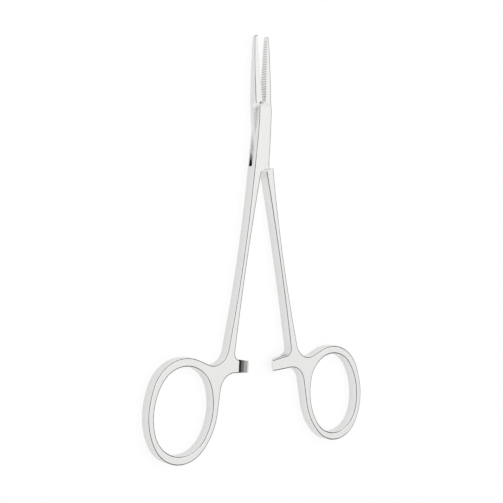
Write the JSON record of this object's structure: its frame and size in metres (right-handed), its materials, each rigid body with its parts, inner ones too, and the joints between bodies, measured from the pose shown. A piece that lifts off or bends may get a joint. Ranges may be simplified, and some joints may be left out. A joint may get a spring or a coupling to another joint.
{
  "type": "mosquito forceps",
  "caption": "Small straight locking forceps with a box lock, fine cross-serrated jaws, a ratchet between the shanks and oval finger rings, lying slightly open.",
  "frame": {"origin": "on the pivot axis, in the plane on which the lock's underside rests", "axes": "+Z out of the front face along the pivot axis, +Y from the pivot along the jaws to the tips, +X towards the male half's finger ring"},
  "size_m": [0.0812, 0.1238, 0.0039],
  "materials": {
    "satin_steel": "fine satin, clean"
  },
  "bodies": {
    "female": {"female_half": "satin_steel", "pivot_pin": "satin_steel"},
    "male": {"male_half": "satin_steel"}
  },
  "joints": [
    {"name": "box_lock_pivot", "type": "hinge", "parent": "female", "child": "male", "pos_m": [0, 0, 0], "axis": [0, 0, 1], "range_deg": [-6.6, 38.4]}
  ]
}
